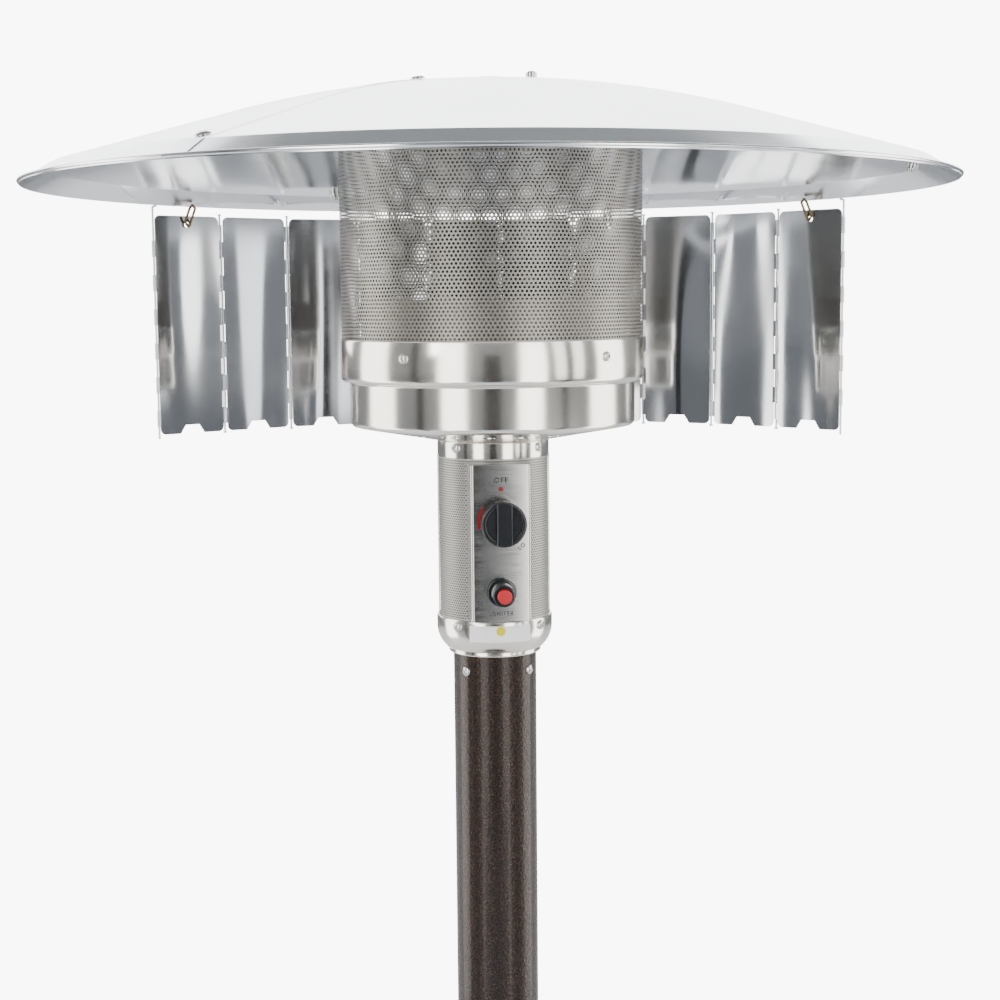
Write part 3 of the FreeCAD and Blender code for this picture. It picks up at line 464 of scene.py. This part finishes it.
BLACK_PLASTIC = grained("black_plastic", (0.012, 0.012, 0.013), 0, 0.28, 900, 0.12, 0.05)
GLOSS_BLACK = grained("gloss_black_plastic", (0.010, 0.011, 0.013), 0, 0.16, 700, 0.04, 0.02)
RED_PLASTIC = grained("red_plastic", (0.42, 0.0, 0.006), 0, 0.5, 700, 0.02)
RUBBER = grained("hose_rubber", (0.02, 0.02, 0.02), 0, 0.6, 500, 0.3, 0.2)
WHEEL = grained("moulded_wheel", (0.025, 0.025, 0.026), 0, 0.5, 350, 0.3, 0.3)
CYLINDER = grained("cylinder_paint", (0.62, 0.63, 0.62), 0, 0.3, 120, 0.15, 0.3)
CAST_IRON = grained("cast_burner", (0.09, 0.085, 0.08), 0.6, 0.55, 300, 0.6, 0.1)
# A near black that stands for shade, used on the tube behind the sleeve.
SHADE_FILL = plain_material("painted_shade_black", (0.028, 0.026, 0.024), 0.75)
INK = plain_material("legend_ink", (0.03, 0.03, 0.032), 0.5)
RED_INK = plain_material("red_ink", (0.20, 0.001, 0.002), 0.6)
PAPER = plain_material("label_paper", (0.82, 0.82, 0.82), 0.45)
YELLOW = plain_material("label_yellow", (0.60, 0.52, 0.0), 0.7)


# %% Put each finish on its CAD pieces
FINISHES = {
    "polished_aluminium": REFLECTOR, "zinc_steel": FIXING, "stainless_screen": SCREEN,
    "heat_steel": HEAT_STEEL, "cast_burner": CAST_IRON, "chrome_shell": CHROME,
    "perforated_steel": SLEEVE, "brushed_panel": PANEL, "valve_brass": BRASS,
    "black_plastic": BLACK_PLASTIC, "red_plastic": RED_PLASTIC,
    "hammered_bronze": BRONZE, "wheel_rubber": WHEEL, "cylinder_paint": CYLINDER,
    "regulator_metal": REGULATOR, "hose_rubber": RUBBER, "shield_sheet": SHIELD,
    "pin_wire": PIN_WIRE,
}
for part in frame["record"]["subparts"]:
    node = NODES[part["node"]]
    node.data.materials.clear()
    node.data.materials.append(FINISHES[part["material_slot"]])
NODES["shield_hooks"].data.materials[0] = DARK_BRASS
print(len(FINISHES), "finishes on", len(NODES), "pieces")


# %% [markdown]
# ## Tools for new pieces
# Most pieces of the head are sheet metal that was spun or pressed. A spun piece starts
# as a line: one point is extruded from place to place to trace the profile, and the spin
# operator carries the profile round the axis. A pressed piece starts as a closed
# outline that is filled and extruded. All sizes are in millimetres until they are drawn.

# %% Draw a line of points
WELD, SOFT_EDGE = 0.00001, 35


def draw_line(name, points):
    """A chain of edges, drawn from one point to the next. It stays in edit mode."""
    clear_selection()
    bpy.ops.mesh.primitive_plane_add(size=MM)
    piece = bpy.context.object
    piece.name = name
    bpy.ops.object.mode_set(mode="EDIT")
    bpy.ops.mesh.merge(type="CENTER")
    spots = [Vector(point) * MM for point in points]
    bpy.ops.transform.translate(value=spots[0])
    for before, after in zip(spots, spots[1:]):
        bpy.ops.mesh.extrude_region_move(TRANSFORM_OT_translate={"value": after - before})
    bpy.ops.mesh.select_all(action="SELECT")
    return piece


def arc(centre, radius, start, end, count=8):
    """Points along an arc, with angles in degrees."""
    steps = [math.radians(start + (end - start) * i / count) for i in range(count + 1)]
    return [(centre[0] + radius * math.cos(a), centre[1] + radius * math.sin(a))
            for a in steps]


def close_mesh(piece, angle=SOFT_EDGE):
    """Merge doubled points, turn the faces outwards and smooth the soft edges."""
    bpy.ops.mesh.select_all(action="SELECT")
    bpy.ops.mesh.remove_doubles(threshold=WELD)
    bpy.ops.mesh.normals_make_consistent(inside=False)
    bpy.ops.object.mode_set(mode="OBJECT")
    bpy.ops.object.shade_smooth_by_angle(angle=math.radians(angle))
    return piece


# %% Spin a profile
def spun(name, profile, steps=160, angle=SOFT_EDGE):
    """A closed profile of (radius, height) turned round the post's axis."""
    piece = draw_line(name, [(r, 0, z) for r, z in profile])
    bpy.ops.mesh.spin(steps=steps, angle=math.tau, center=(0, 0, 0), axis=(0, 0, 1))
    return close_mesh(piece, angle)


def spun_forward(name, profile, height, steps=96):
    """A profile of (radius, distance in front of the post) turned round a level axis."""
    piece = draw_line(name, [(r, -out, height) for r, out in profile])
    bpy.ops.mesh.spin(steps=steps, angle=math.tau, center=(0, 0, height * MM),
                      axis=(0, 1, 0))
    return close_mesh(piece)


# %% Press an outline
def pressed(name, outline, front, thick, bevel=0.0):
    """An outline of (x, z) filled and extruded back from its front face."""
    piece = draw_line(name, [(x, -front, z) for x, z in outline])
    bpy.ops.mesh.edge_face_add()
    bpy.ops.mesh.extrude_region_move(TRANSFORM_OT_translate={"value": (0, thick * MM, 0)})
    close_mesh(piece)
    if bevel:
        edge = piece.modifiers.new("edge", "BEVEL")
        edge.width, edge.segments, edge.limit_method = bevel * MM, 3, "ANGLE"
        bpy.ops.object.modifier_apply(modifier=edge.name)
        bpy.ops.object.shade_smooth_by_angle(angle=math.radians(SOFT_EDGE))
    return piece


# %% Dress, copy and join pieces
def dress(piece, material, body, *nodes, slot):
    """Give a piece its finish and its body, and hide the CAD nodes that it stands for. The slot
    is not used.
    """
    piece.data.materials.clear()
    piece.data.materials.append(material)
    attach(piece, body)
    if nodes:
        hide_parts(*nodes)
    print(piece.name, len(piece.data.polygons), "faces")


def copied(piece, name, matrix):
    """A copy with its own mesh, moved in its mesh so that its object stays at the origin."""
    clear_selection()
    piece.select_set(True)
    bpy.context.view_layer.objects.active = piece
    bpy.ops.object.duplicate(linked=False)
    twin = bpy.context.object
    twin.name = name
    twin.matrix_world = matrix
    bpy.ops.object.transform_apply(location=True, rotation=True, scale=True)
    return twin


def joined(pieces, name):
    """Several meshes made one."""
    clear_selection()
    for piece in pieces:
        piece.select_set(True)
    bpy.context.view_layer.objects.active = pieces[0]
    bpy.ops.object.join()
    pieces[0].name = name
    return pieces[0]


# %% [markdown]
# ## Perforated sheet
# The glowing screen and the lower sleeve are sheet steel with thousands of small round
# holes in staggered rows. A texture could fake them, but real holes let light and the
# burner show through and they look right from every side. One cell with its hole is
# modelled, two arrays repeat it into a flat sheet, and a bend rolls the sheet up. A
# near-black tube of painted shade stands close behind the sleeve and keeps its holes dark.

# %% One cell, arrayed and rolled
SHEET_WELD = 0.00002


def perforated_tube(name, radius, low, high, count, hole, border):
    """Holes of one width, count of them to a row, with a plain band at each end."""
    pitch = math.tau * radius / count
    rise = pitch * math.sqrt(3) / 2
    pairs = int((high - low - 2 * border) / (2 * rise))
    clear_selection()
    bpy.ops.mesh.primitive_circle_add(vertices=6, radius=pitch / math.sqrt(3) * MM,
                                      fill_type="NGON", rotation=(math.pi / 2, 0, 0))
    piece = bpy.context.object
    piece.name = name
    bpy.ops.object.transform_apply(rotation=True)
    bpy.ops.object.mode_set(mode="EDIT")
    bpy.ops.mesh.select_all(action="SELECT")
    bpy.ops.mesh.inset(thickness=(pitch - hole) / 2 * MM)
    bpy.ops.mesh.delete(type="ONLY_FACE")
    bpy.ops.mesh.select_all(action="SELECT")
    bpy.ops.mesh.duplicate_move(
        TRANSFORM_OT_translate={"value": (pitch / 2 * MM, 0, rise * MM)})
    bpy.ops.object.mode_set(mode="OBJECT")
    for step, times in (((pitch, 0, 0), count), ((0, 0, 2 * rise), pairs)):
        array = piece.modifiers.new("rows", "ARRAY")
        array.use_relative_offset, array.use_constant_offset = False, True
        array.constant_offset_displace = [d * MM for d in step]
        array.count = times
        array.use_merge_vertices, array.merge_threshold = True, SHEET_WELD
        bpy.ops.object.modifier_apply(modifier=array.name)
    wide = (count + 0.5) * pitch
    roll = piece.modifiers.new("roll", "SIMPLE_DEFORM")
    roll.deform_method, roll.deform_axis = "BEND", "Z"
    roll.angle = math.tau * wide / (count * pitch)
    bpy.ops.object.modifier_apply(modifier=roll.name)
    bpy.ops.object.mode_set(mode="EDIT")
    bpy.ops.mesh.select_all(action="SELECT")
    spare = (high - low - (2 * pairs - 1) * rise) / 2
    bpy.ops.transform.translate(value=(0, -radius * MM, (low + spare) * MM))
    bpy.ops.mesh.remove_doubles(threshold=SHEET_WELD)
    bpy.ops.object.mode_set(mode="OBJECT")
    bands = [piece]
    tall = spare - rise * 0.45
    for middle in (low + tall / 2, high - tall / 2):
        clear_selection()
        bpy.ops.mesh.primitive_cylinder_add(
            vertices=count, radius=radius * MM + SHEET_WELD, depth=tall * MM,
            end_fill_type="NOTHING", location=(0, 0, middle * MM))
        bpy.ops.object.transform_apply(location=True)
        bands.append(bpy.context.object)
    piece = joined(bands, name)
    bpy.ops.object.shade_smooth_by_angle(angle=math.radians(60))
    return piece


# %% The screen, the sleeve and the tube of painted shade
screen = perforated_tube("perforated_screen", radius=135.0, low=1984.2, high=2171.5,
                         count=225, hole=2.15, border=1.2)
dress(screen, SCREEN, "heater", "emitter_screen", slot="stainless_screen")
# A near-black tube behind the sleeve is painted shade, so the holes in the sleeve read dark.
shade_tube = spun("painted_shade_tube", [(49.0, 1737), (49.4, 1737), (49.4, 1880), (49.0, 1880),
                            (49.0, 1737)], 96)
dress(shade_tube, SHADE_FILL, "heater", slot="cast_burner")
sleeve = perforated_tube("perforated_sleeve", radius=51.0, low=1735.6, high=1880.9,
                         count=128, hole=1.5, border=0.8)
dress(sleeve, SLEEVE, "heater", "control_sleeve", slot="perforated_steel")


# %% [markdown]
# ## Bowl, neck and cup
# These three are spun from thin stainless sheet and then polished. Their charm is in
# the soft radius of every fold, because a mirror stretches the room along each one.
# The profiles below are traced with arcs at the folds and then spun.

# %% The burner bowl: a wide upper band over a narrower lower one
BOWL_WALL, UPPER_BAND, LOWER_BAND, BOWL_TOP = 1.2, 136.5, 128.3, 1986
VENT_COUNT, VENT_CIRCLE, VENT_HEIGHT, VENT_HALF_WIDE = 18, 92, 1903, 4.25


def plain_bowl():
    """The bowl before its vents are cut: the outer face from the foot up, then back down."""
    inner_upper, inner_lower = UPPER_BAND - BOWL_WALL, LOWER_BAND - BOWL_WALL
    profile = [(46, 1896.1), (54, 1896.1), (120, 1907.6)]
    profile += arc((123.0, 1913.4), 5.3, -62, 0, 8)
    profile += [(LOWER_BAND, 1946.6)]
    profile += arc((130.3, 1946.6), 2.0, 180, 112, 4)
    profile += arc((131.6, 1953.7), 5.0, -62, 0, 8)
    profile += [(UPPER_BAND, 1985.2), (136.1, BOWL_TOP), (inner_upper, BOWL_TOP),
                (inner_upper, 1955)]
    profile += arc((131.0, 1955.0), 4.2, 0, -65, 5)
    profile += [(inner_lower, 1949.5), (inner_lower, 1914), (120, 1909.6), (54, 1897.4),
                (46, 1897.4), (46, 1896.1)]
    return spun("burner_bowl_shell", profile, 192, 50)


def vent_cutter(angle):
    """A long oval bar that stands where one vent goes through the sloping underside."""
    clear_selection()
    bpy.ops.mesh.primitive_cylinder_add(vertices=32, radius=VENT_HALF_WIDE * MM,
                                        depth=30 * MM, location=(0, 0, 0))
    cutter = bpy.context.object
    bpy.ops.object.mode_set(mode="EDIT")
    bpy.ops.mesh.select_all(action="SELECT")
    bpy.ops.transform.resize(value=(1, 2.0, 1))
    bpy.ops.object.mode_set(mode="OBJECT")
    circle = VENT_CIRCLE * MM
    cutter.location = (circle * math.cos(angle), circle * math.sin(angle), VENT_HEIGHT * MM)
    cutter.rotation_euler = (0, 0, angle)
    bpy.ops.object.transform_apply()
    return cutter


def cut_away(piece, cutter):
    """Subtract a cutter and throw it away."""
    clear_selection()
    piece.select_set(True)
    bpy.context.view_layer.objects.active = piece
    cut = piece.modifiers.new("cut", "BOOLEAN")
    cut.object, cut.operation, cut.solver = cutter, "DIFFERENCE", "FAST"
    bpy.ops.object.modifier_apply(modifier=cut.name)
    bpy.data.objects.remove(cutter, do_unlink=True)


bowl = plain_bowl()
cutters = [vent_cutter(math.tau * i / VENT_COUNT) for i in range(VENT_COUNT)]
cut_away(bowl, joined(cutters, "vent_cutters"))
dress(bowl, CHROME, "heater", "burner_bowl", slot="chrome_shell")

# %% The neck and the cup of the control head
neck = spun("head_neck_shell",
            [(40, 1881), (50.6, 1881)] + arc((48.6, 1893.9), 2.0, 0, 90, 6)
            + [(40, 1895.9), (40, 1881)], 128)
dress(neck, CHROME, "heater", "head_neck", slot="chrome_shell")
cup = spun("control_cup_shell",
           [(38.1, 1701), (40.6, 1701)] + arc((40.6, 1702.6), 1.6, -90, 20, 6)
           + [(41.6, 1704.4), (43.6, 1705.2)] + arc((26.5, 1725.5), 26.2, -50, 0, 12)
           + [(52.7, 1734.6), (52.2, 1735.4), (50, 1735.4), (50, 1724), (38.1, 1707),
              (38.1, 1701)], 160, 40)
dress(cup, CHROME, "heater", "control_cup", slot="chrome_shell")


# %% [markdown]
# ## The control panel and its legends
# The panel is a folded and brushed plate. Its long edges are rolled, so they catch a
# thin line of light. The legends are printed in dark ink: we write them with text
# objects, turn them into meshes and lay them a hair in front of the plate.

# %% The panel plate
KNOB_HEIGHT, IGNITER_HEIGHT, PANEL_FACE = 1827.5, 1764.5, 62.0
PANEL_FOOT, PANEL_HEAD, PANEL_WALL = 1738.2, 1877.3, 1.0


def panel_plate():
    """The front face with its two rolled edges and the sides that run back to the sleeve."""
    half, edge = 26.7, 3.0
    front = edge - PANEL_FACE
    plan = [(-29, -41.95), (-half, front)]
    plan += arc((edge - half, front), edge, 180, 270, 6)
    plan += arc((half - edge, front), edge, 270, 360, 6)
    plan += [(29, -41.95)]
    piece = draw_line("control_panel_plate", [(x, y, PANEL_FOOT) for x, y in plan])
    bpy.ops.mesh.remove_doubles(threshold=WELD)
    bpy.ops.mesh.extrude_region_move(
        TRANSFORM_OT_translate={"value": (0, 0, (PANEL_HEAD - PANEL_FOOT) * MM)})
    bpy.ops.mesh.select_all(action="SELECT")
    bpy.ops.mesh.normals_make_consistent(inside=False)
    bpy.ops.object.mode_set(mode="OBJECT")
    thick = piece.modifiers.new("wall", "SOLIDIFY")
    thick.thickness, thick.offset = PANEL_WALL * MM, -1
    bpy.ops.object.modifier_apply(modifier=thick.name)
    bpy.ops.object.shade_smooth_by_angle(angle=math.radians(40))
    return piece


def panel_end(name, height):
    """The folded flap that closes the panel above or below."""
    outline = ([(-26.2, -61.3), (26.2, -61.3), (28.6, -44.5)]
               + arc((0, 0), 51.9, -57, -123, 16) + [(-28.6, -44.5)])
    piece = draw_line(name, [(x, y, height) for x, y in outline])
    bpy.ops.mesh.edge_face_add()
    bpy.ops.mesh.extrude_region_move(
        TRANSFORM_OT_translate={"value": (0, 0, PANEL_WALL * MM)})
    return close_mesh(piece)


plate = joined([panel_plate(), panel_end("panel_flap_top", 1876.2),
                panel_end("panel_flap_bottom", 1738.3)], "control_panel_plate")
dress(plate, PANEL, "heater", "control_panel", slot="brushed_panel")


# %% The printed legends
INK_THICK, INK_SPREAD, INK_GAP, LETTER_SPACE = 0.00003, 0.00003, 0.05, 1.15


def legend(word, x, height, size, turn):
    """A word in dark ink, its size in millimetres and its turn in degrees."""
    clear_selection()
    bpy.ops.object.text_add(location=(0, 0, 0))
    text = bpy.context.object
    text.data.body, text.data.size = word, size * MM
    text.data.align_x, text.data.align_y = "CENTER", "CENTER"
    text.data.extrude, text.data.offset = INK_THICK, size * INK_SPREAD
    text.data.space_character = LETTER_SPACE
    bpy.ops.object.convert(target="MESH")
    piece = bpy.context.object
    piece.name = "legend_" + word.lower()
    piece.rotation_euler = (math.pi / 2, 0, 0)
    bpy.ops.object.transform_apply(rotation=True)
    piece.rotation_euler = (0, -math.radians(turn), 0)
    piece.location = (x * MM, -(PANEL_FACE + INK_GAP) * MM, height * MM)
    bpy.ops.object.transform_apply()
    dress(piece, INK, "heater", slot="black_plastic")


legend("OFF", 0, 1863.4, 6.6, 0)
legend("HI", -20.6, 1841.6, 5.0, 28)
legend("LO", 18.0, 1804.6, 5.0, 38)
legend("IGNITER", 0, 1745.0, 5.0, 0)

# %% The red marks
MARK_FACE, MARK_THICK = PANEL_FACE + 0.08, 0.06
dot = pressed("off_mark", arc((0, 1855.8), 2.1, 0, 345, 23), MARK_FACE, MARK_THICK)
dress(dot, RED_INK, "heater", slot="red_plastic")
crescent = pressed("heat_mark", arc((0, KNOB_HEIGHT), 21.4, 148, 203, 14)
                   + arc((2.2, KNOB_HEIGHT + 2.2), 20.6, 199, 144, 14),
                   MARK_FACE, MARK_THICK)
dress(crescent, RED_INK, "heater", slot="red_plastic")


# %% [markdown]
# ## Knob, igniter and button
# The knob is one moulding: a deep drum with a dished face and a bar to turn it by. It
# is pressed in before it turns, so it rides on the turning body, which itself rides on
# the plunger. The igniter is a long black barrel with a red button in its end.

# %% The knob
GRIP_REACH = 19.3
drum = spun_forward(
    "control_knob_drum",
    [(0, 67.2), (18.6, 67.2), (19.4, 68), (19.6, 86.4)]
    + arc((18.2, 87.6), 1.6, 0, 90, 6) + [(17.2, 89.2)]
    + arc((16.4, 88.4), 0.8, 90, 180, 4) + [(15.2, 87.7), (0, 87.5)],
    KNOB_HEIGHT)
bar = [(x, KNOB_HEIGHT + z) for low, high in ((69.2, 110.8), (249.2, 290.8))
       for x, z in arc((0, 0), GRIP_REACH, low, high, 10)]
grip = pressed("control_knob_grip", bar, front=91.9, thick=10.0, bevel=1.1)
knob = joined([drum, grip], "control_knob_moulding")
dress(knob, GLOSS_BLACK, "knob", "control_knob", slot="black_plastic")

# %% The igniter
barrel = spun_forward(
    "igniter_barrel",
    [(7.0, 62.1), (12.6, 62.1)] + arc((12.0, 65.2), 0.9, 0, 90, 4)
    + [(10.2, 66.3), (9.9, 66.8), (9.7, 84.2)] + arc((8.9, 84.3), 0.8, 0, 90, 4)
    + [(7.0, 85.1), (7.0, 62.1)],
    IGNITER_HEIGHT, 72)
dress(barrel, GLOSS_BLACK, "heater", "igniter_collar", slot="black_plastic")
button = spun_forward(
    "igniter_push_button",
    [(0, 68), (6.4, 68), (6.4, 88.6)] + arc((5.2, 88.8), 1.2, 0, 90, 5)
    + [(0, 90.0)], IGNITER_HEIGHT, 64)
dress(button, RED_PLASTIC, "igniter_push", "igniter_button", slot="red_plastic")


# %% [markdown]
# ## Screws
# Every screw on the head is the same pan-head screw with a small recess for the driver.
# One is modelled facing forward, and each copy is carried to its place. A few degrees of
# turn from one to the next keep them from looking stamped.

# %% One screw, then its copies
SCREW_TURN = 17


def pan_screw():
    head = [(0, -1), (4.3, -1), (4.3, 0.7), (4.1, 1.0)] + arc((0, -3.3), 5.95, 47, 76, 6)
    return spun_forward("pan_screw", head + [(1.15, 1.5), (0, 1.5)], 0, 32)


def screws(name, pattern, places, node):
    """Copies at (radius, height, angle from the front), all joined into one piece."""
    made = []
    for i, (radius, height, angle) in enumerate(places):
        turn = math.radians(angle)
        matrix = (Matrix.Rotation(turn, 4, "Z")
                  @ Matrix.Translation((0, -radius * MM, height * MM))
                  @ Matrix.Rotation(math.radians(SCREW_TURN * i), 4, "Y"))
        made.append(copied(pattern, f"{name}_{i}", matrix))
    dress(joined(made, name), FIXING, "heater", node, slot="zinc_steel")


def front_and_back(radius, height, angle):
    """Four places: one each side of the front, and the same behind."""
    return [(radius, height, side * angle + turn) for side in SIDES for turn in (0, 180)]


screw = pan_screw()
on_neck, on_cup = front_and_back(50.7, 1890.0, 47), front_and_back(52.8, 1729.5, 45)
on_post, on_bowl = front_and_back(38.1, 1686.0, 49), front_and_back(136.55, 1972.0, 39)
screws("head_pan_screws", screw, on_neck + on_cup + on_post, "head_screws")
screws("bowl_pan_screws", screw, on_bowl, "bowl_screws")
bpy.data.objects.remove(screw, do_unlink=True)


# %% [markdown]
# ## Hinge barrels of the shield
# The edges of the thin plates are rolled round the pins, tab by tab, so each joint is a
# slim ribbed barrel from top to bottom. One ribbed barrel is spun once, then copied to
# every pin. It is round about its pin, so nothing opens when the shield folds.

# %% The barrels
BARREL, GROOVE, TABS, TAB_GAP = 2.25, 1.75, 12, 0.5
PLATE_FOOT, PLATE_HEAD, MARGIN, HINGES = 1883.0, 2110.0, 8.0, 9


def hinge_barrel():
    """One barrel on the post's axis: a rounded rib for each tab, a groove between two."""
    low = PLATE_FOOT + MARGIN
    rise = (PLATE_HEAD - MARGIN - low) / TABS
    profile = [(0, low)]
    for tab in range(TABS):
        bottom, top = low + tab * rise + TAB_GAP / 2, low + (tab + 1) * rise - TAB_GAP / 2
        profile += [(GROOVE, bottom - 0.05), (BARREL, bottom + 0.2),
                    (BARREL, top - 0.2), (GROOVE, top + 0.05)]
    return spun("hinge_barrel", profile + [(0, low + TABS * rise)], 20, 40)


def pin_axis(number):
    """The middle of a hinge pin, from the CAD piece's own points."""
    places = [vertex.co for vertex in NODES[f"shield_pin_{number}"].data.vertices]
    return [(min(p[i] for p in places) + max(p[i] for p in places)) / 2 for i in (0, 1)]


ribbed = hinge_barrel()
for number in range(1, HINGES + 1):
    piece = copied(ribbed, f"hinge_barrel_{number}",
                   Matrix.Translation((*pin_axis(number), 0)))
    dress(piece, SHIELD, f"shield_{number}", slot="shield_sheet")
bpy.data.objects.remove(ribbed, do_unlink=True)


# %% [markdown]
# ## A blank label
# A small white sticker with a plain yellow dot sits on the cup under the panel. It
# follows the curve of the cup, so it is cut from a tube of nearly the same radius.

# %% The label
LABEL_RADIUS, LABEL_TALL, LABEL_MIDDLE, LABEL_HALF, LABEL_THICK = 52.8, 14.6, 1724.6, 27.2, 0.15


def paper_strip():
    """A tube cut down to a strip that hugs the front of the cup."""
    clear_selection()
    bpy.ops.mesh.primitive_cylinder_add(
        vertices=240, radius=LABEL_RADIUS * MM, depth=LABEL_TALL * MM,
        end_fill_type="NOTHING", location=(0, 0, LABEL_MIDDLE * MM))
    piece = bpy.context.object
    piece.name = "blank_label"
    bpy.ops.object.transform_apply(location=True)
    bpy.ops.object.mode_set(mode="EDIT")
    for side in SIDES:
        bpy.ops.mesh.select_all(action="SELECT")
        bpy.ops.mesh.bisect(plane_co=(side * LABEL_HALF * MM, 0, 0), plane_no=(side, 0, 0),
                            clear_outer=True)
    bpy.ops.mesh.select_all(action="SELECT")
    bpy.ops.mesh.bisect(plane_co=(0, 0, 0), plane_no=(0, 1, 0), clear_outer=True)
    bpy.ops.object.mode_set(mode="OBJECT")
    thick = piece.modifiers.new("paper", "SOLIDIFY")
    thick.thickness, thick.offset = LABEL_THICK * MM, 1
    bpy.ops.object.modifier_apply(modifier=thick.name)
    return piece


dress(paper_strip(), PAPER, "heater", slot="black_plastic")
spot = pressed("label_dot", arc((0, 1727.4), 4.2, 0, 350, 35), 53.1, 0.2)
dress(spot, YELLOW, "heater", slot="black_plastic")
